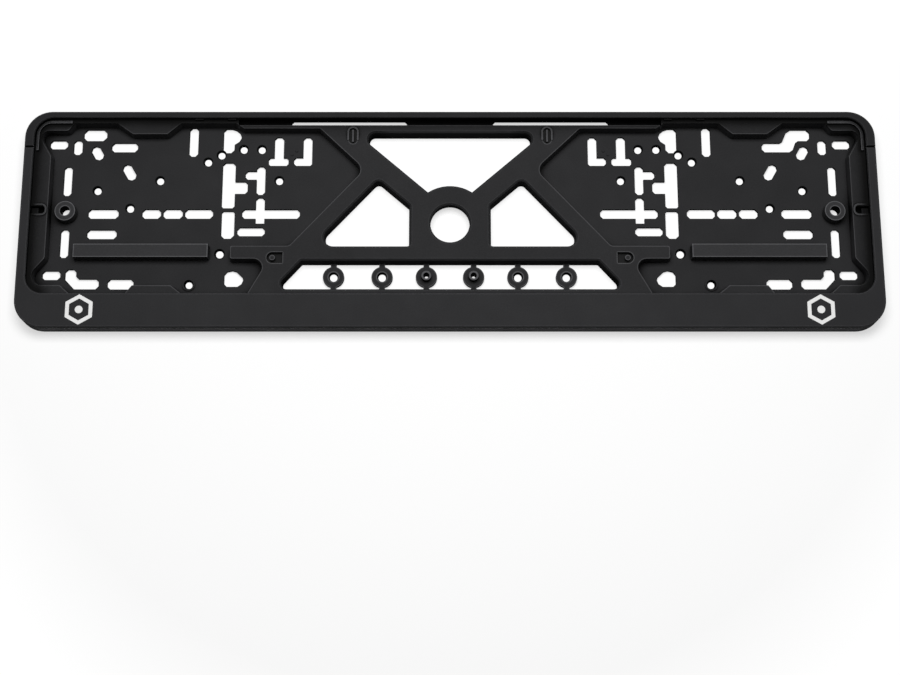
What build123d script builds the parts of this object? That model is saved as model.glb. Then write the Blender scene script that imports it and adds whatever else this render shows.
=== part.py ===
from build123d import *
from math import radians, tan
import os

os.makedirs("parts", exist_ok=True)

# A holder for a long number plate, lying on its back. X runs along the plate, Y towards the
# plate's upper edge and Z out of the face. The origin is under the middle of the back plane.

# Overall sizes
overall_width = 532.0
overall_height = 140.0
overall_depth = 12.0
top_corner_radius = 16.5
bottom_corner_radius = 17.5

# Levels above the back plane and wall thicknesses
floor_thickness = 2.0
seat_height = 8.5
seat_skin = 2.0
wall = 2.0
wall_draft = 8.0
opening_draft = 6.5
edge_bevel = 1.0
front_bevel = 0.6
back_bevel = 0.8
back_rib = 1.6

# Rim above the seam: two side rails, a lip along the top and a slot for the plate's edge
rail_width = 5.9
lip_width = 4.0
lip_thickness = 1.8
rim_inner_radius = 12.0
seam_from_top = 23.3
seam_gap = 0.4
channel_depth = 7.8
channel_half_length = 133.0
slit_start = 27.3
slit_end = 100.1
slit_width = 4.4

# Front frame: the strip under the plate and two side rails, clipped over the base
strip_height = 21.6
frame_thickness = 2.4
frame_inner_radius = 11.0
skirt_thickness = 1.8
skirt_clearance = 0.2
groove_depth = 0.6
groove_height = 0.6

# Hooks of the frame: a visible one at each side, and a row under the strip
side_latch_y = 6.3
side_latch_reach = 14.6
side_window_height = 4.7
side_hook_width = 3.4
strip_hook_places = (45.0, 135.0, 225.0)
strip_hook_from_bottom = 10.5
strip_hook_width = 12.0
hook_thickness = 1.6
hook_barb = 0.8
hook_clearance = 0.3
finger_reach = 4.0
window_corner_radius = 2.2

# Low beads and ribs raised on the seat
bead_width = 1.0
bead_height = 0.5
corner_rib_width = 1.5
corner_rib_height = 1.8
corner_rib_radius = 8.5
corner_rib_from_side = 7.8
corner_rib_from_top = 6.4
corner_rib_across = 21.0
corner_rib_down = 18.7

# Lugs under the lip that press on the plate
lip_lug_places = (137.0, 157.5)
lip_lug_width = 5.0
lip_lug_reach = 0.8

# Shallow recesses in the truss
top_recess_x = 60.9
top_recess_length = 10.4
top_recess_width = 5.0
top_recess_depth = 1.2
pin_recess_depth = 2.5
pin_recess_x = 106.4
pin_recess_size = (6.4, 7.1)
pin_radius = 1.7
nub_radius = 0.9
nub_places = ((-99.5, 44.9), (-96.6, 47.4))

# Hub ring and its hole
hub_y = -2.5
hub_radius = 23.6
hub_hole_radius = 12.2
hub_collar_depth = 6.0
hub_collar_wall = 2.0
ring_corner_radius = 1.5

# Screw eyelets across the lower opening
eyelet_places = (14.6, 42.0, 72.0)
eyelet_radius = 6.6
eyelet_hole_radius = 3.1
eyelet_thickness = 2.6
collar_radius = 3.0
collar_hole_radius = 1.9
collar_height = 3.6
stem_width = 3.6

# Screw bosses and support bars on the two floor panels
boss_from_side = 26.9
boss_y = 5.6
boss_radius = 6.3
boss_hole_radius = 3.1
boss_draft = 3.0
bar_from_side = 33.4
bar_length = 83.0
bar_height = 8.4
bar_y = -20.1

# Ribs across the hollow back: places along X under the strip, and along Y beside the panels
strip_rib_places = (20.0, 60.0, 100.0, 150.0, 180.0, 215.0)
side_rib_places = (38.0, 22.0, -8.0, -24.0)

# Corner cut of a slotted hole, as a share of the hole's width
slot_corner_share = 0.3

# Reference lines of the outline
side = -overall_width / 2
top = overall_height / 2
bottom = -overall_height / 2
rail_seat = overall_depth - frame_thickness
seam_y = top - seam_from_top
strip_top = bottom + strip_height
panel_margin = 16.2
lower_opening_height = 20.4
eyelet_y = bottom + 34.4
pin_recess_y = bottom + 45.2
top_recess_y = top - 15.0

# Corners of the left floor panel at the seat level: x, y, rounding radius
panel_corners = [
    (side + 30.0, top - 6.5, 0.0),
    (side + 26.0, top - 11.4, 2.0),
    (side + 6.4, top - 11.4, 4.5),
    (side + 16.2, top - 28.5, 3.0),
    (side + 16.2, bottom + 45.0, 3.0),
    (side + 1.7, bottom + 27.5, 6.4),
    (side + 26.5, bottom + 27.5, 1.5),
    (side + 35.1, bottom + 19.6, 0.0),
    (side + 64.7, bottom + 19.6, 0.0),
    (side + 70.8, bottom + 27.4, 0.0),
    (side + 94.4, bottom + 27.4, 0.0),
    (side + 104.1, bottom + 19.6, 0.0),
    (-125.6, bottom + 19.6, 0.0),
    (-111.5, bottom + 44.6, 5.7),
    (-135.6, bottom + 44.6, 1.2),
    (-135.6, bottom + 52.7, 1.2),
    (-99.4, bottom + 52.7, 4.0),
    (-53.3, top - 37.1, 6.5),
    (-81.6, top - 9.9, 0.0),
    (-129.5, top - 9.9, 0.0),
    (-134.7, top - 6.5, 0.0),
    (side + 96.8, top - 6.5, 1.5),
    (side + 88.4, top - 13.7, 1.5),
    (side + 66.9, top - 13.7, 1.5),
    (side + 56.9, top - 6.5, 1.5),
]

# Corners of the truss openings at the seat level: x, y, rounding radius
upper_opening = [(-61.6, top - 11.7, 5.5), (61.6, top - 11.7, 5.5), (0.0, 4.6, 0.0)]
side_opening = [
    (-44.9, 28.3, 5.0),
    (-23.7, 9.8, 3.0),
    (-23.7, bottom + 51.7, 3.0),
    (-88.1, bottom + 51.7, 6.9),
]
lower_opening = [
    (-92.4, bottom + 44.6, 3.0),
    (92.4, bottom + 44.6, 3.0),
    (110.7, bottom + 24.2, 4.6),
    (-110.7, bottom + 24.2, 4.6),
]

# Slotted holes of each panel, given for the left one: x, y, length, width, angle
left_slots = [
    (side + 19.2, top - 18.5, 11.2, 5.8, 0),
    (side + 31.3, top - 20.4, 9.6, 5.5, 90),
    (side + 43.9, top - 24.1, 9.4, 5.6, -60),
    (side + 64.6, top - 36.9, 11.0, 5.6, -60),
    (side + 26.1, 27.1, 19.2, 5.2, 90),
    (side + 49.5, 5.6, 19.0, 6.2, 0),
    (side + 79.6, 5.6, 11.8, 6.2, 0),
    (side + 93.0, 5.6, 12.2, 6.2, 0),
    (-156.8, 5.6, 17.6, 6.2, 0),
    (side + 49.2, -7.8, 18.5, 6.0, 0),
    (side + 26.3, -13.9, 18.3, 5.3, 90),
    (side + 19.4, bottom + 35.6, 11.2, 5.8, 0),
    (side + 62.4, bottom + 29.9, 16.1, 6.6, 0),
    (-161.7, top - 16.8, 19.2, 5.6, 90),
    (-124.0, -6.1, 17.2, 5.6, 0),
]

# Stepped holes of a panel: corners of each outline as x, y and the cut across the corner
left_shapes = [
    # Bent slot in the lower corner
    [
        (side + 27.9, bottom + 39.4, 1.8),
        (side + 34.8, bottom + 39.4, 1.8),
        (side + 34.8, bottom + 33.3, 1.6),
        (side + 49.0, bottom + 33.3, 1.9),
        (side + 49.0, bottom + 26.7, 1.9),
        (side + 34.0, bottom + 26.7, 0.0),
        (side + 27.9, bottom + 33.2, 0.0),
    ],
    # Slot with a round shoulder beside the top edge
    [
        (-143.0, top - 7.8, 1.8),
        (-136.2, top - 7.8, 1.5),
        (-131.6, top - 11.4, 1.7),
        (-131.9, top - 15.6, 1.4),
        (-136.0, top - 18.4, 0.0),
        (-136.0, top - 24.0, 2.0),
        (-143.0, top - 24.0, 2.0),
    ],
    # Tall stepped slot
    [
        (-142.9, 39.5, 1.8),
        (-134.8, 39.5, 1.8),
        (-134.8, 26.9, 0.0),
        (-126.9, 26.9, 1.6),
        (-126.9, 18.9, 1.6),
        (-134.8, 18.9, 0.0),
        (-134.8, 9.4, 1.2),
        (-142.9, 9.4, 1.2),
    ],
    [(-142.6, 7.4, 1.1), (-134.5, 7.4, 1.1), (-134.5, -10.6, 2.1), (-142.6, -10.6, 2.1)],
    # Hook-shaped slot
    [
        (-121.4, 37.0, 1.6),
        (-116.0, 37.0, 1.6),
        (-116.0, 18.2, 1.6),
        (-121.4, 18.2, 1.6),
        (-121.4, 28.3, 0.0),
        (-128.5, 28.3, 1.6),
        (-128.5, 33.9, 1.6),
        (-121.4, 33.9, 0.0),
    ],
    # Slot with a foot to both sides
    [
        (-110.6, top - 13.4, 1.6),
        (-104.8, top - 13.4, 1.6),
        (-104.8, top - 27.2, 0.0),
        (-101.7, top - 27.2, 1.2),
        (-101.7, top - 32.5, 1.2),
        (-114.2, top - 32.5, 1.2),
        (-114.2, top - 27.2, 1.2),
        (-110.6, top - 27.2, 0.0),
    ],
    # Slot with a foot to one side
    [
        (-92.5, top - 13.5, 1.6),
        (-86.9, top - 13.5, 1.6),
        (-86.9, top - 32.5, 1.1),
        (-98.3, top - 32.5, 1.5),
        (-98.3, top - 27.0, 1.5),
        (-92.5, top - 27.0, 0.0),
    ],
    # Cross-shaped slot
    [
        (-121.4, 16.3, 1.6),
        (-115.9, 16.3, 1.6),
        (-115.9, 8.6, 0.0),
        (-93.8, 8.6, 1.7),
        (-93.8, 2.5, 1.7),
        (-115.9, 2.5, 0.0),
        (-115.9, -0.7, 0.0),
        (-121.4, -0.7, 0.0),
        (-121.4, 2.5, 0.0),
        (-129.9, 2.5, 1.7),
        (-129.9, 8.6, 1.7),
        (-121.4, 8.6, 0.0),
    ],
    # Drop-shaped hole
    [
        (-139.6, bottom + 28.3, 1.8),
        (-129.6, bottom + 28.3, 1.8),
        (-127.4, bottom + 33.4, 1.2),
        (-133.2, bottom + 39.0, 1.5),
        (-139.6, bottom + 37.6, 1.8),
    ],
]

# The two slots that meet in one stepped slot on the right panel alone
right_step_slot = [
    (-side - 69.2, top - 17.2, 1.8),
    (-side - 56.4, top - 17.2, 1.2),
    (-side - 52.6, top - 8.3, 2.1),
    (-side - 38.6, top - 8.3, 2.1),
    (-side - 38.6, top - 15.9, 2.1),
    (-side - 47.4, top - 15.9, 1.2),
    (-side - 50.2, top - 23.4, 1.8),
    (-side - 69.2, top - 23.4, 1.8),
]
left_upper_slots = [
    (side + 41.9, top - 12.1, 14.6, 7.6, 0),
    (side + 60.8, top - 20.3, 16.5, 6.2, 0),
]

# Round holes of a panel: x, y, radius
round_holes = [
    (side + 84.0, 27.6, 3.1),
    (side + 45.0, 21.0, 3.1),
    (side + 66.0, 9.3, 3.1),
    (-144.0, top - 25.3, 3.1),
    (-152.3, top - 30.0, 3.1),
    (-130.1, top - 21.5, 3.1),
    (-118.7, top - 21.6, 3.1),
    (-107.2, 27.6, 3.1),
    (-143.1, -20.5, 3.3),
    (-161.4, bottom + 29.6, 3.0),
]


def rounded_polygon(corners, mode=Mode.ADD):
    """Add a face from corners given as x, y and rounding radius."""
    points = [(x, y) for x, y, radius in corners]
    radii = [radius for x, y, radius in corners]
    with BuildLine() as outline:
        FilletPolyline(*points, radius=radii, close=True)
    make_face(outline.edges(), mode=mode)


def cut_polygon(corners):
    """Add a face from corners given as x, y and the length cut off along both edges."""
    points = []
    for index, (x, y, cut) in enumerate(corners):
        corner = Vector(x, y)
        if cut == 0:
            points.append(corner)
            continue
        before = Vector(*corners[index - 1][:2])
        after = Vector(*corners[(index + 1) % len(corners)][:2])
        points.append(corner + (before - corner).normalized() * cut)
        points.append(corner + (after - corner).normalized() * cut)
    Polygon(*points, align=None)


def holder_outline(inset=0.0, mode=Mode.ADD):
    """Add the holder's outline, moved inwards by inset."""
    left = side + inset
    rounded_polygon(
        [
            (left, bottom + inset, bottom_corner_radius - inset),
            (-left, bottom + inset, bottom_corner_radius - inset),
            (-left, top - inset, top_corner_radius - inset),
            (left, top - inset, top_corner_radius - inset),
        ],
        mode,
    )


def plate_window(margin=0.0, mode=Mode.ADD):
    """Add the window that shows the number plate, made larger by margin."""
    left = side + rail_width - margin
    rounded_polygon(
        [
            (left, strip_top - margin, frame_inner_radius + margin),
            (-left, strip_top - margin, frame_inner_radius + margin),
            (-left, top - lip_width + margin, rim_inner_radius + margin),
            (left, top - lip_width + margin, rim_inner_radius + margin),
        ],
        mode,
    )


def mirrored(corners):
    """Return the same corners on the other side of the middle."""
    return [(-x, y, radius) for x, y, radius in corners]


def sharp(corners):
    """Return the same corners without rounding."""
    return [(x, y, 0.0) for x, y, radius in corners]


def upper_part():
    """Keep what lies above the seam."""
    reach = top - seam_y - seam_gap / 2
    with Locations((0, top - reach / 2)):
        Rectangle(overall_width, reach, mode=Mode.INTERSECT)


def lower_part():
    """Keep what lies below the seam."""
    reach = seam_y - seam_gap / 2 - bottom
    with Locations((0, bottom + reach / 2)):
        Rectangle(overall_width, reach, mode=Mode.INTERSECT)


def outline_edges(part, level):
    """Choose the edges at one level that lie on the holder's outline."""
    chosen = []
    for edge in part.edges().filter_by_position(Axis.Z, level, level):
        box = edge.bounding_box()
        at_side = max(abs(box.min.X), abs(box.max.X)) > -side - 0.01
        at_end = box.min.Y < bottom + 0.01 or box.max.Y > top - 0.01
        if (at_side or at_end) and edge.length > rail_width:
            chosen.append(edge)
    return chosen


def add_slots(places, directions=(1, -1)):
    """Add slots with cut corners from x, y, length, width and angle, as given and mirrored."""
    for x, y, length, width, angle in places:
        with BuildSketch(mode=Mode.PRIVATE) as slot:
            Rectangle(length, width)
            chamfer(slot.vertices(), length=slot_corner_share * width)
        with Locations(*[Location((way * x, y), way * angle) for way in directions]):
            add(slot.sketch)


def opening_shapes():
    """Return the faces of the truss openings, seen from the front."""
    with BuildSketch(mode=Mode.PRIVATE) as upper:
        rounded_polygon(upper_opening)
        with Locations((0, hub_y)):
            Circle(hub_radius, mode=Mode.SUBTRACT)
        ring_corners = upper.vertices().group_by(Axis.Y)[0]
        fillet(ring_corners, radius=ring_corner_radius)
    shapes = [upper.sketch]
    for corners in (side_opening, mirrored(side_opening), lower_opening):
        with BuildSketch(mode=Mode.PRIVATE) as plain:
            rounded_polygon(corners)
        shapes.append(plain.sketch)
    return shapes


def sharp_opening_shapes():
    """Return the faces of the truss openings with sharp corners, for the hollow around them."""
    with BuildSketch(mode=Mode.PRIVATE) as upper:
        cut_polygon(sharp(upper_opening))
        with Locations((0, hub_y)):
            Circle(hub_radius, mode=Mode.SUBTRACT)
    shapes = [upper.sketch]
    for corners in (side_opening, mirrored(side_opening), lower_opening):
        with BuildSketch(mode=Mode.PRIVATE) as plain:
            cut_polygon(sharp(corners))
        shapes.append(plain.sketch)
    return shapes


def cut_opening(shape):
    """Cut an opening through the raised truss, bevelled in front and drafted below."""
    with BuildSketch(Plane.XY.offset(seat_height)) as front:
        add(shape)
    extrude(front.sketch, amount=-edge_bevel, taper=45, mode=Mode.SUBTRACT)
    with BuildSketch(Plane.XY.offset(seat_height - edge_bevel)) as inner:
        offset(shape, amount=-edge_bevel)
    extrude(inner.sketch, amount=edge_bevel - seat_height, taper=opening_draft, mode=Mode.SUBTRACT)


def back_ribs():
    """Leave ribs standing across the hollow under the strip and beside the panels."""
    strip_middle = bottom + strip_height / 2
    for x in strip_rib_places:
        with Locations((x, strip_middle), (-x, strip_middle)):
            Rectangle(back_rib, strip_height, mode=Mode.SUBTRACT)
    for y in side_rib_places:
        with Locations((side + panel_margin / 2, y), (-side - panel_margin / 2, y)):
            Rectangle(panel_margin, back_rib, mode=Mode.SUBTRACT)


with BuildPart() as base_plate:
    # Solid block up to the seat plane, with the rim above the seam and the wall below it
    with BuildSketch():
        holder_outline()
    extrude(amount=seat_height)
    with BuildSketch(Plane.XY.offset(seat_height)):
        holder_outline()
        plate_window(mode=Mode.SUBTRACT)
        upper_part()
    extrude(amount=overall_depth - seat_height)
    with BuildSketch(Plane.XY.offset(seat_height)):
        holder_outline()
        holder_outline(wall, Mode.SUBTRACT)
        lower_part()
    extrude(amount=rail_seat - seat_height)

    # Bevels in front and at the back, and the groove along the frame's edge
    chamfer(base_plate.edges().group_by(Axis.Z)[-1], front_bevel)
    chamfer(outline_edges(base_plate, 0.0), back_bevel)
    with BuildSketch(Plane.XY.offset(rail_seat)):
        holder_outline()
        holder_outline(groove_depth, Mode.SUBTRACT)
        lower_part()
    extrude(amount=-groove_height, mode=Mode.SUBTRACT)

    # The two floor panels
    with BuildSketch(Plane.XY.offset(seat_height)):
        rounded_polygon(panel_corners)
        mirror(about=Plane.YZ)
    extrude(amount=floor_thickness - seat_height, taper=wall_draft, mode=Mode.SUBTRACT)

    # Slot under the lip for the plate's edge, and the deep channel behind the truss
    with BuildSketch(Plane.XY.offset(seat_height)):
        with Locations((0, top - (wall + lip_width) / 2)):
            Rectangle(overall_width - 2 * (top_corner_radius + rail_width), lip_width - wall)
    extrude(amount=overall_depth - lip_thickness - seat_height, mode=Mode.SUBTRACT)
    with BuildSketch(Plane.XY.offset(floor_thickness)):
        with Locations((0, top - (wall + channel_depth) / 2)):
            Rectangle(2 * channel_half_length, channel_depth - wall)
    extrude(amount=seat_height - floor_thickness, mode=Mode.SUBTRACT)
    with BuildSketch():
        slit_x = (slit_start + slit_end) / 2
        slit_y = top - (wall + channel_depth) / 2
        add_slots([(slit_x, slit_y, slit_end - slit_start, slit_width, 0)])
    extrude(amount=floor_thickness, mode=Mode.SUBTRACT)

    # Lugs under the lip, which keep the plate's edge in its place
    with BuildSketch(Plane.XY.offset(seat_height)):
        for x in lip_lug_places:
            with Locations((x, top - wall), (-x, top - wall)):
                Rectangle(lip_lug_width, lip_width - wall + lip_lug_reach, align=(Align.CENTER, Align.MAX))
    extrude(amount=overall_depth - lip_thickness - seat_height)

    # Hollow back of the ledges and of the truss
    with BuildSketch():
        holder_outline(wall)
        for corners in (panel_corners, mirrored(panel_corners)):
            with BuildSketch(mode=Mode.PRIVATE) as panel:
                cut_polygon(sharp(corners))
            offset(panel.sketch, amount=wall, kind=Kind.INTERSECTION, mode=Mode.SUBTRACT)
        for shape in sharp_opening_shapes():
            offset(shape, amount=edge_bevel, kind=Kind.INTERSECTION, mode=Mode.SUBTRACT)
        with Locations((0, hub_y)):
            Circle(hub_hole_radius + hub_collar_wall, mode=Mode.SUBTRACT)
        with Locations((0, top - channel_depth / 2)):
            Rectangle(2 * (channel_half_length + wall), channel_depth + 2 * wall, mode=Mode.SUBTRACT)
        recess_length, recess_height = pin_recess_size
        island_x = pin_recess_x + recess_height / 4
        with Locations((island_x, pin_recess_y), (-island_x, pin_recess_y)):
            island_length = recess_length + recess_height / 2 + 2 * back_rib
            Rectangle(island_length, recess_height + 2 * back_rib, mode=Mode.SUBTRACT)
        back_ribs()
    extrude(amount=seat_height - seat_skin, mode=Mode.SUBTRACT)

    # Openings of the truss, and the hub hole with its short collar
    for shape in opening_shapes():
        cut_opening(shape)
    with BuildSketch():
        with Locations((0, hub_y)):
            Circle(hub_hole_radius + hub_collar_wall)
    extrude(amount=seat_height - hub_collar_depth, mode=Mode.SUBTRACT)
    with Locations((0, hub_y, seat_height)):
        CounterSinkHole(hub_hole_radius, hub_hole_radius + edge_bevel, seat_height, counter_sink_angle=90)

    # Support bars, hollow at the back
    spread = (seat_height - floor_thickness) * tan(radians(boss_draft))
    bar_x = side + bar_from_side + bar_length / 2
    with BuildSketch(Plane.XY.offset(floor_thickness)):
        with Locations((bar_x, bar_y), (-bar_x, bar_y)):
            Rectangle(bar_length + 2 * spread, bar_height + 2 * spread)
    extrude(amount=seat_height - floor_thickness, taper=boss_draft)
    with BuildSketch():
        with Locations((bar_x, bar_y), (-bar_x, bar_y)):
            Rectangle(bar_length - 2 * wall, bar_height - 2 * wall)
    extrude(amount=seat_height - seat_skin, mode=Mode.SUBTRACT)

    # Screw bosses
    boss_x = side + boss_from_side
    with BuildSketch(Plane.XY.offset(floor_thickness)):
        with Locations((boss_x, boss_y), (-boss_x, boss_y)):
            Circle(boss_radius + spread)
    extrude(amount=seat_height - floor_thickness, taper=boss_draft)

    # Screw eyelets on stems across the lower opening
    eyelet_x = [direction * x for x in eyelet_places for direction in (-1, 1)]
    with BuildSketch():
        for x in eyelet_x:
            with Locations((x, eyelet_y)):
                Circle(eyelet_radius)
                Rectangle(stem_width, lower_opening_height)
    extrude(amount=eyelet_thickness)
    with BuildSketch(Plane.XY.offset(eyelet_thickness)):
        with Locations((eyelet_places[0], eyelet_y), (-eyelet_places[0], eyelet_y)):
            Circle(collar_radius)
    extrude(amount=collar_height)

    # Ribs in the upper corners and beads round the side windows
    corner_rib_x = side + corner_rib_from_side
    corner_rib_y = top - corner_rib_from_top
    with BuildSketch(Plane.XY.offset(seat_height)):
        with BuildLine():
            FilletPolyline(
                (corner_rib_x + corner_rib_across, corner_rib_y),
                (corner_rib_x, corner_rib_y),
                (corner_rib_x, corner_rib_y - corner_rib_down),
                radius=corner_rib_radius,
            )
        trace(line_width=corner_rib_width)
        mirror(about=Plane.YZ)
    extrude(amount=corner_rib_height)
    bead_reach = side_window_height / 2 + bead_width
    with BuildSketch(Plane.XY.offset(seat_height)):
        with BuildLine():
            FilletPolyline(
                (side + rail_width + bead_width, side_latch_y + bead_reach),
                (side + side_latch_reach + bead_width / 2, side_latch_y + bead_reach),
                (side + side_latch_reach + bead_width / 2, side_latch_y - bead_reach),
                (side + rail_width + bead_width, side_latch_y - bead_reach),
                radius=bead_reach - bead_width / 2,
            )
        trace(line_width=bead_width)
        mirror(about=Plane.YZ)
    extrude(amount=bead_height)

    # Windows for the frame's hooks, at the sides and under the strip
    side_window_end = side + side_latch_reach
    side_window_start = side + rail_width - skirt_thickness - hook_clearance
    window_top = side_latch_y + side_window_height / 2
    window_foot = side_latch_y - side_window_height / 2
    side_window = [
        (side_window_start, window_top, 0.0),
        (side_window_end, window_top, window_corner_radius),
        (side_window_end, window_foot, window_corner_radius),
        (side_window_start, window_foot, 0.0),
    ]
    strip_hook_y = bottom + strip_hook_from_bottom
    strip_window_y = strip_hook_y - hook_barb / 2
    strip_window_height = hook_thickness + hook_barb + 2 * hook_clearance
    with BuildSketch(Plane.XY.offset(seat_height)):
        rounded_polygon(side_window)
        rounded_polygon(mirrored(side_window))
        for x in strip_hook_places:
            with Locations((x, strip_window_y), (-x, strip_window_y)):
                Rectangle(strip_hook_width + 2 * hook_clearance, strip_window_height)
    extrude(amount=-seat_skin, mode=Mode.SUBTRACT)

    # Shallow recesses beside the upper opening, each with a rib standing in it
    with BuildSketch(Plane.XY.offset(seat_height)):
        with Locations((top_recess_x, top_recess_y), (-top_recess_x, top_recess_y)):
            SlotOverall(top_recess_length, top_recess_width, rotation=90)
    extrude(amount=-top_recess_depth, mode=Mode.SUBTRACT)
    with BuildSketch(Plane.XY.offset(seat_height - top_recess_depth)):
        with Locations((top_recess_x, top_recess_y), (-top_recess_x, top_recess_y)):
            Rectangle(bead_width, top_recess_length - top_recess_width / 2)
    extrude(amount=top_recess_depth + bead_height)
    with BuildSketch(Plane.XY.offset(seat_height)):
        for x in (-top_recess_x, top_recess_x):
            with Locations((x, top_recess_y)):
                SlotOverall(
                    top_recess_length + 2 * bead_width, top_recess_width + 2 * bead_width, rotation=90
                )
                SlotOverall(top_recess_length, top_recess_width, rotation=90, mode=Mode.SUBTRACT)
            with Locations((x, top_recess_y - top_recess_length / 2)):
                Rectangle(top_recess_width + 2 * bead_width, top_recess_width, mode=Mode.SUBTRACT)
    extrude(amount=bead_height)

    # Deeper recesses at the foot of the truss, each round a short pin
    with BuildSketch(Plane.XY.offset(seat_height)):
        for direction in (-1, 1):
            with Locations((direction * pin_recess_x, pin_recess_y)):
                Rectangle(recess_length, recess_height)
            with Locations((direction * (pin_recess_x + recess_length / 2), pin_recess_y)):
                Circle(recess_height / 2)
    extrude(amount=-pin_recess_depth, mode=Mode.SUBTRACT)
    with BuildSketch(Plane.XY.offset(seat_height - pin_recess_depth)):
        pin_x = pin_recess_x + recess_length / 2
        with Locations((pin_x, pin_recess_y), (-pin_x, pin_recess_y)):
            Circle(pin_radius)
    extrude(amount=pin_recess_depth)
    with BuildSketch():
        with Locations((pin_recess_x, pin_recess_y), (-pin_recess_x, pin_recess_y)):
            Rectangle(recess_length - back_rib, recess_height - back_rib)
    extrude(amount=seat_height - pin_recess_depth - seat_skin, mode=Mode.SUBTRACT)

    # Locating nubs and the ring round the lower hole on each floor panel
    with BuildSketch(Plane.XY.offset(floor_thickness)):
        for x, y in nub_places:
            with Locations((x, y), (-x, y)):
                RegularPolygon(nub_radius, 6)
        ring_x, ring_y, ring_hole_radius = round_holes[-1]
        with Locations((ring_x, ring_y), (-ring_x, ring_y)):
            Circle(ring_hole_radius + bead_width)
    extrude(amount=bead_height)

    # Holes of the floor panels, all through
    with BuildSketch():
        add_slots(left_slots)
        for corners in left_shapes:
            cut_polygon(corners)
            cut_polygon(mirrored(corners))
        cut_polygon(right_step_slot)
        add_slots(left_upper_slots, directions=(1,))
        for x, y, radius in round_holes:
            with Locations((x, y), (-x, y)):
                Circle(radius)
    extrude(amount=floor_thickness + bead_height, mode=Mode.SUBTRACT)

    # Screw holes of the bosses and eyelets
    with BuildSketch():
        with Locations((boss_x, boss_y), (-boss_x, boss_y)):
            Circle(boss_hole_radius)
        for x in eyelet_x:
            with Locations((x, eyelet_y)):
                Circle(collar_hole_radius if abs(x) == eyelet_places[0] else eyelet_hole_radius)
    extrude(amount=seat_height, mode=Mode.SUBTRACT)

base_plate.part.label = "base_plate"
export_step(base_plate.part, "parts/base_plate.step")


with BuildPart() as front_frame:
    # Flat strip and rails, with a skirt behind their inner edge
    with BuildSketch(Plane.XY.offset(rail_seat)):
        holder_outline()
        plate_window(mode=Mode.SUBTRACT)
        lower_part()
    extrude(amount=frame_thickness)
    with BuildSketch(Plane.XY.offset(rail_seat)):
        plate_window(skirt_thickness)
        plate_window(mode=Mode.SUBTRACT)
        lower_part()
    extrude(amount=seat_height + skirt_clearance - rail_seat)
    chamfer(front_frame.edges().group_by(Axis.Z)[-1], front_bevel)

    # Hooks under the strip, each with a barb that grips behind the seat skin
    barb_level = seat_height - seat_skin - hook_clearance
    barb_foot = barb_level - 2 * hook_barb
    for x in strip_hook_places:
        for place in (-x, x):
            with BuildSketch(Plane.YZ.offset(place)) as hook:
                with BuildLine():
                    Polyline(
                        (strip_hook_y + hook_thickness / 2, rail_seat),
                        (strip_hook_y + hook_thickness / 2, barb_foot),
                        (strip_hook_y - hook_thickness / 2, barb_foot),
                        (strip_hook_y - hook_thickness / 2 - hook_barb, barb_level),
                        (strip_hook_y - hook_thickness / 2, barb_level),
                        (strip_hook_y - hook_thickness / 2, rail_seat),
                        close=True,
                    )
                make_face()
            extrude(amount=strip_hook_width / 2, both=True)

    # Hooks at the sides, each with a short finger that shows in its window
    hook_outer = side + rail_width - skirt_thickness
    hook_inner = side + rail_width
    with BuildSketch(Plane.XZ.offset(-side_latch_y)):
        with BuildLine():
            Polyline(
                (hook_outer, rail_seat),
                (hook_outer, barb_level),
                (hook_outer - hook_barb, barb_level),
                (hook_outer, barb_foot),
                (hook_inner, barb_foot),
                (hook_inner + finger_reach, barb_foot + hook_barb),
                (hook_inner + finger_reach, barb_level),
                (hook_inner, barb_level),
                (hook_inner, rail_seat),
                close=True,
            )
        make_face()
        mirror(about=Plane.YZ)
    extrude(amount=side_hook_width / 2, both=True)

front_frame.part.label = "front_frame"
export_step(front_frame.part, "parts/front_frame.step")
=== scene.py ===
from math import cos, pi, radians, sin

import bmesh
import bpy
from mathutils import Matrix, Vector


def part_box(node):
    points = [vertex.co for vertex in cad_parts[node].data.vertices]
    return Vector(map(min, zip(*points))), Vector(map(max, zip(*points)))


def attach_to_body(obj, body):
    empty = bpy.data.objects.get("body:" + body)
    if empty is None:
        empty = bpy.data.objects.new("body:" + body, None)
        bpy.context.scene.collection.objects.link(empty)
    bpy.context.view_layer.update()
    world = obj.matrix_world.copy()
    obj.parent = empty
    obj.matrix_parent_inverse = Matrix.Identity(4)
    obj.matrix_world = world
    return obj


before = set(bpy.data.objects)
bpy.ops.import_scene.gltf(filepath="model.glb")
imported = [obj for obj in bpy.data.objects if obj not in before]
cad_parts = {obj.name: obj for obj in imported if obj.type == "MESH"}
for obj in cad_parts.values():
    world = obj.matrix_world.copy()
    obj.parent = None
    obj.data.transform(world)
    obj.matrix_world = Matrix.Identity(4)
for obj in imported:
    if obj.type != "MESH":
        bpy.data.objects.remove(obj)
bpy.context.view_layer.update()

# A number plate holder of black moulded plastic, lying on its back on a white table.
# Everything is in metres, with X along the plate, Y towards its upper edge and Z out of its face.

MM = 0.001
WHITE = (1.0, 1.0, 1.0, 1.0)

# Camera: where it stands, how far it is tilted from straight down, and its lens
CAMERA_PLACE = (0.0, -316.4 * MM, 955.5 * MM)
CAMERA_TILT = radians(14.265)
CAMERA_LENS = 64.27
CAMERA_SENSOR = 36.0

# Light: a soft box nearly overhead, a little beyond the upper edge,
# and a dim even light from all round
KEY_DISTANCE = 0.95
KEY_ELEVATION = radians(76.0)
KEY_SIZE = (0.7, 0.5)
KEY_POWER = 9.2
WORLD_LEVEL = 0.01

# Table: the camera sees an even glow and a lit part, which together are white outside the shadow.
# Between two distances from the middle the glow rises, until it is white on its own.
TABLE_SIZE = 6.0
TABLE_DROP = 0.1 * MM
TABLE_WHITE = 1.0
TABLE_GLOW = 0.64
TABLE_FAR = (0.29, 0.55)
TABLE_LIT = 0.44
TABLE_ALBEDO = 0.08

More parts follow.
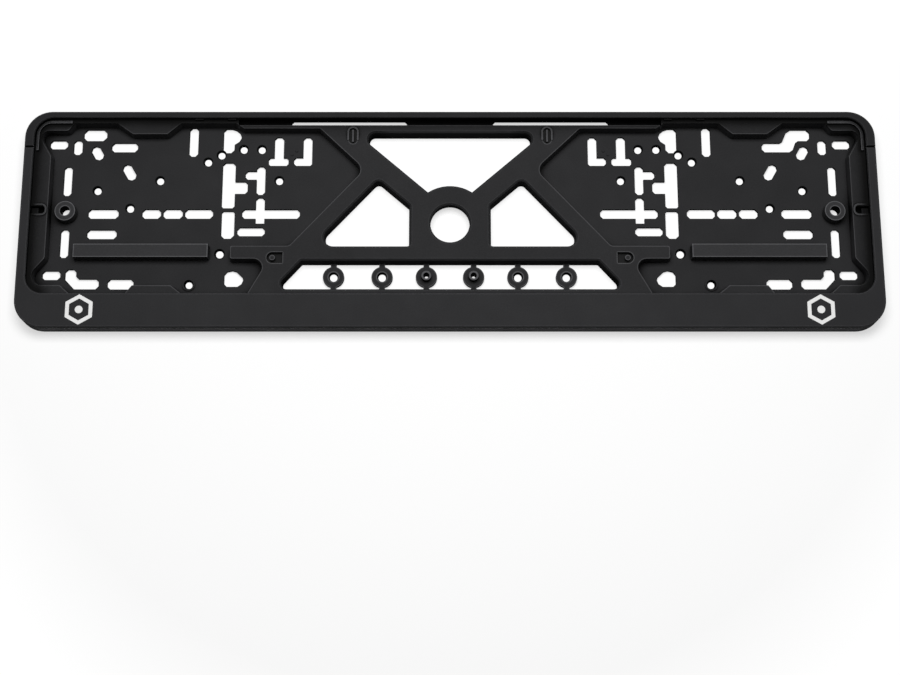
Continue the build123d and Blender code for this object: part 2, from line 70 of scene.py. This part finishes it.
# Painted shade in reflections: they see the part of the table that the holder covers nearly black:
# half its length and width, how soft its border is, and how bright it is
FOOT_HALF = (266.0 * MM, 70.0 * MM)
FOOT_SOFT = 6.0 * MM
FOOT_GLOW = 0.06

# Plastic: colours of the base, of the frame and of the depths in painted shade, and their faint gloss
BASE_COLOUR = (0.0226, 0.0226, 0.0238)
FRAME_COLOUR = (0.0146, 0.0146, 0.0154)
SHADED_COLOUR = (0.0040, 0.0040, 0.0043)
SPECULAR_LEVEL = 0.06

# Patterns of noise: scale, detail and roughness, and the part of their range that is stretched
NOISE_RANGE = (0.3, 0.7)
CLOUDS = (14.0, 3.0, 0.5)
CLOUD_SHADES = (0.94, 1.06)
SPECKS = (1500.0, 2.0, 0.6)
SPECK_SHADES = (0.86, 1.14)
BLOTCHES = (60.0, 4.0, 0.5)
BLOTCH_ROUGHNESS = (0.60, 0.70)

# Grain: its pattern, its depth, its strength on the floor panels, on the depths in painted shade
# and on plain faces, and the levels between which the panels' grain gives way to the plain one
GRAIN = (1300.0, 3.0, 0.65)
GRAIN_DEPTH = 0.05 * MM
PANEL_GRAIN = 1.0
SHADED_GRAIN = 0.6
PLAIN_GRAIN = 0.35
PANEL_LEVEL = (2.2 * MM, 3.0 * MM)

# Convex edges: how far they are felt, how free a place is where it is an edge and where it isn't,
# their painted highlight, how much smoother they are, from which level on, and how round they look
EDGE_SAMPLES = 8
EDGE_REACH = 0.8 * MM
EDGE_RANGE = (0.55, 0.95)
EDGE_HIGHLIGHT = 3.4
EDGE_SMOOTH = 0.14
EDGE_LEVEL = (2.52 * MM, 2.58 * MM)
ROUND_SAMPLES = 4
ROUND_RADIUS = 0.25 * MM

# Painted shade in hollows: how far they are felt, and how open a place is where it is black and where
# it isn't
HOLLOW_SAMPLES = 12
HOLLOW_REACH = 14.0 * MM
HOLLOW_RANGE = (0.44, 0.68)

# Painted shade of the seat beside the side rails and under the lip: where it starts and where it
# is full, and how open a place is where it is black and where it isn't
SEAT_LEVEL = (7.0 * MM, 8.2 * MM)
RAIL_SHADE_X = (244.0 * MM, 252.0 * MM)
LIP_SHADE_Y = (50.0 * MM, 56.0 * MM)
SEAT_RANGE = (0.89, 0.972)

# Painted shade on the rim's face; at the lower edge a painted highlight on the base's wall, under
# the frame's wall in painted shade
RIM_LEVEL = (10.6 * MM, 11.4 * MM)
RIM_SHADE = 0.42
LOWER_WALL_Y = (-69.97 * MM, -69.7 * MM)
BASE_WALL_HIGHLIGHT = 9.0
FRAME_WALL_SHADE = 0.15

# Painted light on the tops of the support bars and bosses, and a painted highlight on the corner ribs
BAR_X = (148.5 * MM, 246.0 * MM)
BAR_Y = (-26.0 * MM, 13.5 * MM)
BAR_SOFT = 1.0 * MM
BAR_PAINTED_LIGHT = 0.55
RIB_LEVEL = (9.7 * MM, 10.2 * MM)
RIB_HIGHLIGHT = 1.8

# Painted shade on the hooks and the skirt of the frame, which lie in the dark below its cap
HOOK_LEVEL = (8.6 * MM, 9.4 * MM)
HOOK_SHADE = 0.35

# Round screw holes of the left panel, in millimetres: place, mouth radius and depth.
# All narrow towards the back by the same factor.
PANEL_HOLES = (
    (-182.0, 27.6, 3.1, 2.0),
    (-221.0, 21.0, 3.1, 2.0),
    (-200.0, 9.3, 3.1, 2.0),
    (-144.0, 44.7, 3.1, 2.0),
    (-152.3, 40.0, 3.1, 2.0),
    (-130.1, 48.5, 3.1, 2.0),
    (-118.7, 48.4, 3.1, 2.0),
    (-107.2, 27.6, 3.1, 2.0),
    (-143.1, -20.5, 3.3, 2.0),
    (-161.4, -40.4, 3.0, 2.5),
)
PANEL_TAPER = 0.70

# Screw eyelets of the right half, in millimetres: place along their row, mouth radius, height
# and radius at the back
EYELET_Y = -35.6
EYELETS = ((14.6, 1.9, 6.2, 1.1), (42.0, 3.1, 2.6, 2.3), (72.0, 3.1, 2.6, 2.3))

# Tapered linings of the holes, in the plastic painted in shade: how far they reach into the wall,
# and how far they stay inside
THROAT_GRIP = 0.25 * MM
THROAT_INSET = 0.02 * MM
ROUND_SIDES = 40

# Shelves in painted shade behind the two side windows
SHELF_X = (251.8 * MM, 263.9 * MM)
SHELF_Y = (1.3 * MM, 11.3 * MM)
SHELF_Z = (0.1 * MM, 1.3 * MM)

# Floors in painted shade in the two upper recesses of the truss, and in the two recesses with a pin
RECESS_PLACE = (60.9 * MM, 55.0 * MM)
RECESS_SIZE = (4.8 * MM, 10.2 * MM)
RECESS_Z = (7.25 * MM, 7.36 * MM)
PIN_RECESS_X = (103.3 * MM, 109.6 * MM)
PIN_RECESS_Y = -24.8 * MM
PIN_RECESS_RADIUS = 3.45 * MM
PIN_RECESS_Z = (5.95 * MM, 6.06 * MM)

# Printed marks near the ends of the lower strip: a six-sided ring round a dot
MARK_X = 226.0 * MM
MARK_Y = -58.9 * MM
MARK_SIDES = 6
MARK_OUTER = 9.6 * MM
MARK_INNER = 6.9 * MM
MARK_DOT = 2.4 * MM
MARK_DOT_SIDES = 32
MARK_THICKNESS = 0.06 * MM
STRIP_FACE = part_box("front_frame")[1].z

# Ink of the marks: its pattern, where its two whites lie in it, and its roughness
INK_PATTERN = (700.0, 3.0, 0.5)
INK_WHITES = ((0.25, (0.86, 0.86, 0.85, 1.0)), (0.60, (0.93, 0.93, 0.92, 1.0)))
INK_ROUGHNESS = (0.45, 0.60)


def new_material(name):
    """Return an empty material with its node tree and its output."""
    material = bpy.data.materials.new(name)
    material.use_nodes = True
    tree = material.node_tree
    tree.nodes.clear()
    return material, tree, tree.nodes.new("ShaderNodeOutputMaterial")


def add_node(tree, kind, **settings):
    """Add a node; settings name its properties, or its inputs by their labels with spaces as _."""
    node = tree.nodes.new(kind)
    for name, value in settings.items():
        if hasattr(node, name):
            setattr(node, name, value)
        else:
            node.inputs[name.replace("_", " ")].default_value = value
    return node


def own_coordinates(tree):
    """Return the object's own coordinates, together and as their three parts."""
    coordinates = tree.nodes.new("ShaderNodeTexCoord").outputs["Object"]
    place = tree.nodes.new("ShaderNodeSeparateXYZ")
    tree.links.new(coordinates, place.inputs["Vector"])
    return coordinates, place.outputs


def noise(tree, coordinates, pattern):
    """Return the value of a noise of a given scale, detail and roughness."""
    scale, detail, roughness = pattern
    node = add_node(tree, "ShaderNodeTexNoise", Scale=scale, Detail=detail, Roughness=roughness)
    tree.links.new(coordinates, node.inputs["Vector"])
    return node.outputs["Fac"]


def remap(tree, value, start, end, low, high):
    """Stretch a value from start..end to low..high."""
    node = add_node(tree, "ShaderNodeMapRange", From_Min=start, From_Max=end, To_Min=low, To_Max=high)
    tree.links.new(value, node.inputs["Value"])
    return node.outputs["Result"]


def vary(tree, coordinates, pattern, limits):
    """Return a noise that varies between two limits."""
    return remap(tree, noise(tree, coordinates, pattern), *NOISE_RANGE, *limits)


def combine(tree, operation, first, second=0.0):
    """Combine two values, each a socket or a number."""
    node = tree.nodes.new("ShaderNodeMath")
    node.operation = operation
    for socket, value in zip(node.inputs, (first, second)):
        if isinstance(value, (int, float)):
            socket.default_value = value
        else:
            tree.links.new(value, socket)
    return node.outputs["Value"]


def multiply(tree, first, *others):
    """Multiply two or more values."""
    product = first
    for other in others:
        product = combine(tree, "MULTIPLY", product, other)
    return product


def mix_shaders(tree, factor, first, second):
    """Blend from one shader to another by a factor."""
    mix = tree.nodes.new("ShaderNodeMixShader")
    for socket, value in zip(mix.inputs, (factor, first, second)):
        tree.links.new(value, socket)
    return mix.outputs["Shader"]


def highlit_smooth_edges(tree, place):
    """Find the convex edges that lie above the floor of the panels."""
    convex = add_node(
        tree, "ShaderNodeAmbientOcclusion", inside=True, samples=EDGE_SAMPLES, Distance=EDGE_REACH
    )
    # This edge mask carries a painted highlight into the colour, and a smoother roughness
    edge = remap(tree, convex.outputs["AO"], *EDGE_RANGE, 1.0, 0.0)
    return multiply(tree, edge, remap(tree, place["Z"], *EDGE_LEVEL, 0.0, 1.0))


def hollow_shade(tree, place, width, on_seat):
    """Paint shade at the feet of walls, and on the seat beside the side rails and under the lip."""
    hollow = add_node(
        tree, "ShaderNodeAmbientOcclusion", samples=HOLLOW_SAMPLES, Distance=HOLLOW_REACH
    )
    openness = hollow.outputs["AO"]
    shade = remap(tree, openness, *HOLLOW_RANGE, 0.0, 1.0)
    beside_rail = remap(tree, width, *RAIL_SHADE_X, 0.0, 1.0)
    under_lip = remap(tree, place["Y"], *LIP_SHADE_Y, 0.0, 1.0)
    trough = multiply(tree, combine(tree, "MAXIMUM", beside_rail, under_lip), on_seat)
    open_seat = remap(tree, openness, *SEAT_RANGE, 0.0, 1.0)
    deep = multiply(tree, combine(tree, "SUBTRACT", 1.0, open_seat), trough)
    return multiply(tree, shade, combine(tree, "SUBTRACT", 1.0, deep))


def painted_bar_light(tree, place, width, on_seat):
    """Paint light on the tops of the support bars and bosses, with soft borders."""
    bar = on_seat
    for value, (start, end) in ((width, BAR_X), (place["Y"], BAR_Y)):
        bar = multiply(tree, bar, remap(tree, value, start - BAR_SOFT, start, 0.0, 1.0))
        bar = multiply(tree, bar, remap(tree, value, end, end + BAR_SOFT, 1.0, 0.0))
    return combine(tree, "ADD", 1.0, multiply(tree, bar, BAR_PAINTED_LIGHT))


def black_plastic(
    name, colour, panel_grain, rim_shade=1.0, wall_shade=1.0, hook_shade=1.0, edge_highlight_level=EDGE_HIGHLIGHT
):
    """Make the black plastic, grained on the floor panels and smoother above them."""
    material, tree, output = new_material(name)
    links = tree.links
    shader = add_node(tree, "ShaderNodeBsdfPrincipled")
    shader.inputs["Specular IOR Level"].default_value = SPECULAR_LEVEL
    links.new(shader.outputs["BSDF"], output.inputs["Surface"])
    coordinates, place = own_coordinates(tree)
    width = combine(tree, "ABSOLUTE", place["X"])
    on_seat = remap(tree, place["Z"], *SEAT_LEVEL, 0.0, 1.0)

    # Painted shade and light by place: shade in hollows, on the rim and on the hooks, on the outer
    # wall at the lower edge a highlight for the base and shade for the frame, and light on bars and
    # corner ribs
    hollow = hollow_shade(tree, place, width, on_seat)
    rim = remap(tree, place["Z"], *RIM_LEVEL, 1.0, rim_shade)
    wall = remap(tree, place["Y"], *LOWER_WALL_Y, wall_shade, 1.0)
    hook = remap(tree, place["Z"], *HOOK_LEVEL, hook_shade, 1.0)
    bar = painted_bar_light(tree, place, width, on_seat)
    rib = remap(tree, place["Z"], *RIB_LEVEL, 1.0, RIB_HIGHLIGHT)
    shade = multiply(tree, hollow, rim, wall, hook, multiply(tree, bar, rib))

    # Colour: slow clouds, faint fine specks, painted highlights on edges and the painted shade and
    # light of the place
    edge = highlit_smooth_edges(tree, place)
    clouds = vary(tree, coordinates, CLOUDS, CLOUD_SHADES)
    specks = vary(tree, coordinates, SPECKS, SPECK_SHADES)
    edge_highlight = combine(tree, "ADD", 1.0, multiply(tree, edge, edge_highlight_level))
    tint = tree.nodes.new("ShaderNodeVectorMath")
    tint.operation = "SCALE"
    tint.inputs[0].default_value = colour
    links.new(multiply(tree, clouds, specks, edge_highlight, shade), tint.inputs["Scale"])
    links.new(tint.outputs["Vector"], shader.inputs["Base Color"])

    # Roughness: fine variation, a little smoother along the convex edges
    blotches = vary(tree, coordinates, BLOTCHES, BLOTCH_ROUGHNESS)
    roughness = combine(tree, "SUBTRACT", blotches, multiply(tree, edge, EDGE_SMOOTH))
    links.new(roughness, shader.inputs["Roughness"])

    # Grain: strong on the floor panels, weak above them, over slightly rounded edges
    strength = remap(tree, place["Z"], *PANEL_LEVEL, panel_grain, PLAIN_GRAIN)
    grain = add_node(tree, "ShaderNodeBump", Distance=GRAIN_DEPTH)
    links.new(noise(tree, coordinates, GRAIN), grain.inputs["Height"])
    links.new(strength, grain.inputs["Strength"])
    rounded = add_node(tree, "ShaderNodeBevel", samples=ROUND_SAMPLES, Radius=ROUND_RADIUS)
    links.new(rounded.outputs["Normal"], grain.inputs["Normal"])
    links.new(grain.outputs["Normal"], shader.inputs["Normal"])
    return material


def white_print():
    """Make the thin white ink of the printed marks, slightly uneven."""
    material, tree, output = new_material("white_print")
    shader = add_node(tree, "ShaderNodeBsdfPrincipled")
    tree.links.new(shader.outputs["BSDF"], output.inputs["Surface"])
    coordinates = tree.nodes.new("ShaderNodeTexCoord").outputs["Object"]
    patches = noise(tree, coordinates, INK_PATTERN)
    ramp = tree.nodes.new("ShaderNodeValToRGB")
    for stop, (position, colour) in zip(ramp.color_ramp.elements, INK_WHITES):
        stop.position = position
        stop.color = colour
    tree.links.new(patches, ramp.inputs["Fac"])
    tree.links.new(ramp.outputs["Color"], shader.inputs["Base Color"])
    roughness = remap(tree, patches, *NOISE_RANGE, *INK_ROUGHNESS)
    tree.links.new(roughness, shader.inputs["Roughness"])
    return material


def background_rays(tree):
    """Pick the rays that see the plain white background: those of the camera, and mirrored ones."""
    rays = tree.nodes.new("ShaderNodeLightPath").outputs
    mirrored = combine(tree, "MAXIMUM", rays["Is Glossy Ray"], rays["Is Transmission Ray"])
    return rays["Is Camera Ray"], mirrored


def matt_grey(tree, level):
    """Add an evenly grey matt surface."""
    return add_node(tree, "ShaderNodeBsdfDiffuse", Color=(level, level, level, 1.0)).outputs["BSDF"]


def even_glow(tree, strength):
    """Add a white glow whose strength is a value of the tree."""
    glow = tree.nodes.new("ShaderNodeEmission")
    tree.links.new(strength, glow.inputs["Strength"])
    return glow.outputs["Emission"]


def table_material():
    """Make the table: nearly even white to the camera and in reflections, dim for other light."""
    material, tree, output = new_material("table")
    camera_ray, mirrored_ray = background_rays(tree)
    coordinates, place = own_coordinates(tree)

    # Reflections see it white outside the footprint of the holder, and in painted shade inside it
    outside = []
    for axis, half in zip("XY", FOOT_HALF):
        reach = combine(tree, "ABSOLUTE", place[axis])
        outside.append(remap(tree, reach, half, half + FOOT_SOFT, FOOT_GLOW, TABLE_WHITE))
    mirrored = even_glow(tree, combine(tree, "MAXIMUM", *outside))
    dim = mix_shaders(tree, mirrored_ray, matt_grey(tree, TABLE_ALBEDO), mirrored)

    # The camera sees its glow and its lit part together
    distance = tree.nodes.new("ShaderNodeVectorMath")
    distance.operation = "LENGTH"
    tree.links.new(coordinates, distance.inputs[0])
    strength = remap(tree, distance.outputs["Value"], *TABLE_FAR, TABLE_GLOW, TABLE_WHITE)
    seen = tree.nodes.new("ShaderNodeAddShader")
    tree.links.new(matt_grey(tree, TABLE_LIT), seen.inputs[0])
    tree.links.new(even_glow(tree, strength), seen.inputs[1])
    surface = mix_shaders(tree, camera_ray, dim, seen.outputs["Shader"])
    tree.links.new(surface, output.inputs["Surface"])
    return material


def place_in_scene(name, data):
    """Add an object with its data to the scene."""
    added = bpy.data.objects.new(name, data)
    bpy.context.scene.collection.objects.link(added)
    return added


def mesh_object(name, mesh_maker, material):
    """Build an object from a function that fills its mesh with faces."""
    mesh = bpy.data.meshes.new(name)
    made = bmesh.new()
    mesh_maker(made)
    bmesh.ops.recalc_face_normals(made, faces=made.faces)
    made.to_mesh(mesh)
    made.free()
    mesh.materials.append(material)
    return place_in_scene(name, mesh)


def attach(piece):
    """Let a piece move with the holder."""
    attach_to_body(piece, "root")


def ring_of_points(made, centre, radius, count, height, turn=0.0):
    """Add the corner points of a regular polygon at a height."""
    points = []
    for index in range(count):
        angle = turn + 2 * pi * index / count
        x = centre[0] + radius * cos(angle)
        y = centre[1] + radius * sin(angle)
        points.append(made.verts.new((x, y, height)))
    return points


def long_outline(made, centre, size, height):
    """Add the points of an upright slot with round ends."""
    width, length = size
    shift = (length - width) / 2
    points = []
    for index in range(ROUND_SIDES):
        angle = 2 * pi * (index + 0.5) / ROUND_SIDES
        lift = shift if sin(angle) > 0 else -shift
        across = width / 2 * cos(angle)
        along = width / 2 * sin(angle) + lift
        points.append(made.verts.new((centre[0] + across, centre[1] + along, height)))
    return points


def half_round_outline(made, direction, height):
    """Add the points of a rectangle that ends in a half circle on its outer side."""
    inner_x, outer_x = PIN_RECESS_X
    points = []
    for index in range(ROUND_SIDES + 1):
        angle = pi * (index / ROUND_SIDES - 0.5)
        x = outer_x + PIN_RECESS_RADIUS * cos(angle)
        points.append((x, PIN_RECESS_Y + PIN_RECESS_RADIUS * sin(angle)))
    points.append((inner_x, PIN_RECESS_Y + PIN_RECESS_RADIUS))
    points.append((inner_x, PIN_RECESS_Y - PIN_RECESS_RADIUS))
    return [made.verts.new((direction * x, y, height)) for x, y in points]


def close_band(made, first, second):
    """Join two rings of points with a band of faces."""
    count = len(first)
    for index in range(count):
        after = (index + 1) % count
        made.faces.new((first[index], first[after], second[after], second[index]))


def close_tube(made, rings):
    """Join each ring of points to the next one, and the last to the first."""
    for first, second in zip(rings, rings[1:] + rings[:1]):
        close_band(made, first, second)


def close_slab(made, foot, crown):
    """Make a flat solid between two outlines, one above the other."""
    close_band(made, foot, crown)
    made.faces.new(foot)
    made.faces.new(crown)


def throat(made, centre, mouth, narrow, height):
    """Add a ring that fills a round hole and narrows it like a cone towards the back."""
    low = THROAT_INSET
    top = height - THROAT_INSET
    profile = ((mouth + THROAT_GRIP, low), (mouth + THROAT_GRIP, top), (mouth, top), (narrow, low))
    rings = [ring_of_points(made, centre, radius, ROUND_SIDES, level) for radius, level in profile]
    close_tube(made, rings)


def hole_throats(name, holes, material):
    """Taper round holes and their mirror images; each has a place, two radii and a height."""

    def fill(made):
        for x, y, mouth, narrow, height in holes:
            for direction in (1, -1):
                centre = (direction * x * MM, y * MM)
                throat(made, centre, mouth * MM, narrow * MM, height * MM)

    attach(mesh_object(name, fill, material))


def window_shelves(material):
    """Close the hollow behind the two side windows with a thin shelf."""

    def fill(made):
        inner_x, outer_x = SHELF_X
        lower_y, upper_y = SHELF_Y
        corners = ((inner_x, lower_y), (inner_x, upper_y), (outer_x, upper_y), (outer_x, lower_y))
        for direction in (1, -1):
            layers = [[made.verts.new((direction * x, y, z)) for x, y in corners] for z in SHELF_Z]
            close_slab(made, *layers)

    attach(mesh_object("window_shelves", fill, material))


def recess_floors(material):
    """Lay a thin floor into each upper recess of the truss and each recess with a pin, for painted
    shade.
    """

    def fill(made):
        x, y = RECESS_PLACE
        for direction in (1, -1):
            centre = (direction * x, y)
            close_slab(made, *[long_outline(made, centre, RECESS_SIZE, z) for z in RECESS_Z])
            close_slab(made, *[half_round_outline(made, direction, z) for z in PIN_RECESS_Z])

    attach(mesh_object("recess_floors", fill, material))


def printed_mark(x, name, material):
    """Print a plain six-sided ring with a dot in its middle on the strip."""

    def fill(made):
        top = STRIP_FACE + MARK_THICKNESS
        centre = (x, MARK_Y)
        turn = pi / MARK_SIDES
        profile = (
            (MARK_OUTER, STRIP_FACE),
            (MARK_OUTER - MARK_THICKNESS, top),
            (MARK_INNER + MARK_THICKNESS, top),
            (MARK_INNER, STRIP_FACE),
        )
        rings = [
            ring_of_points(made, centre, radius, MARK_SIDES, level, turn)
            for radius, level in profile
        ]
        close_tube(made, rings)
        dot_profile = ((MARK_DOT, STRIP_FACE), (MARK_DOT - MARK_THICKNESS, top))
        dot = [
            ring_of_points(made, centre, radius, MARK_DOT_SIDES, level)
            for radius, level in dot_profile
        ]
        close_slab(made, *dot)

    attach(mesh_object(name, fill, material))


def paint(node, material):
    """Give one of the two moulded parts its material in every slot."""
    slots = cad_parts[node].data.materials
    slots.clear()
    slots.append(material)


def set_camera():
    """Place the camera over the lower edge, looking down at the holder."""
    data = bpy.data.cameras.new("camera")
    data.lens = CAMERA_LENS
    data.sensor_width = CAMERA_SENSOR
    camera = place_in_scene("camera", data)
    camera.location = CAMERA_PLACE
    camera.rotation_euler = (CAMERA_TILT, 0.0, 0.0)
    bpy.context.scene.camera = camera


def set_world():
    """Light the scene dimly from all round, and show white to the camera and in reflections."""
    world = bpy.data.worlds.new("studio")
    bpy.context.scene.world = world
    world.use_nodes = True
    tree = world.node_tree
    tree.nodes.clear()
    output = tree.nodes.new("ShaderNodeOutputWorld")
    dim = add_node(tree, "ShaderNodeBackground", Color=WHITE, Strength=WORLD_LEVEL)
    white = add_node(tree, "ShaderNodeBackground", Color=WHITE, Strength=TABLE_WHITE)
    shows_white = combine(tree, "MAXIMUM", *background_rays(tree))
    light = mix_shaders(tree, shows_white, dim.outputs["Background"], white.outputs["Background"])
    tree.links.new(light, output.inputs["Surface"])


def hang_key_light():
    """Hang the soft box beyond the upper edge, turned to the middle of the holder."""
    light = bpy.data.lights.new("key", "AREA")
    light.shape = "RECTANGLE"
    light.size, light.size_y = KEY_SIZE
    light.energy = KEY_POWER
    lamp = place_in_scene("key", light)
    place = Vector((0.0, KEY_DISTANCE * cos(KEY_ELEVATION), KEY_DISTANCE * sin(KEY_ELEVATION)))
    lamp.location = place
    lamp.rotation_euler = (-place).to_track_quat("-Z", "Y").to_euler()


def lay_table():
    """Lay the white table under the holder."""

    def fill(made):
        half = TABLE_SIZE / 2
        corners = ((-half, -half), (half, -half), (half, half), (-half, half))
        made.faces.new([made.verts.new((x, y, -TABLE_DROP)) for x, y in corners])

    mesh_object("table", fill, table_material())


set_camera()
set_world()
hang_key_light()
lay_table()

base_plastic = black_plastic(
    "base_plastic", BASE_COLOUR, PANEL_GRAIN, rim_shade=RIM_SHADE, wall_shade=BASE_WALL_HIGHLIGHT
)
# The same plastic made much darker: painted shade for hole linings, shelves and recess floors
shaded_plastic = black_plastic("shaded_plastic", SHADED_COLOUR, SHADED_GRAIN, edge_highlight_level=0.0)
frame_plastic = black_plastic(
    "frame_plastic", FRAME_COLOUR, PLAIN_GRAIN, wall_shade=FRAME_WALL_SHADE, hook_shade=HOOK_SHADE
)
paint("base_plate", base_plastic)
paint("front_frame", frame_plastic)

panel_holes = [(x, y, mouth, mouth * PANEL_TAPER, depth) for x, y, mouth, depth in PANEL_HOLES]
eyelet_holes = [(x, EYELET_Y, mouth, narrow, height) for x, mouth, height, narrow in EYELETS]
# Hole linings, window shelves and recess floors carry the painted shade
hole_throats("panel_hole_throats", panel_holes, shaded_plastic)
hole_throats("eyelet_throats", eyelet_holes, shaded_plastic)
window_shelves(shaded_plastic)
recess_floors(shaded_plastic)

ink = white_print()
for side_name, mark_x in (("left", -MARK_X), ("right", MARK_X)):
    printed_mark(mark_x, "printed_mark_" + side_name, ink)

bpy.context.scene.view_settings.view_transform = "Standard"
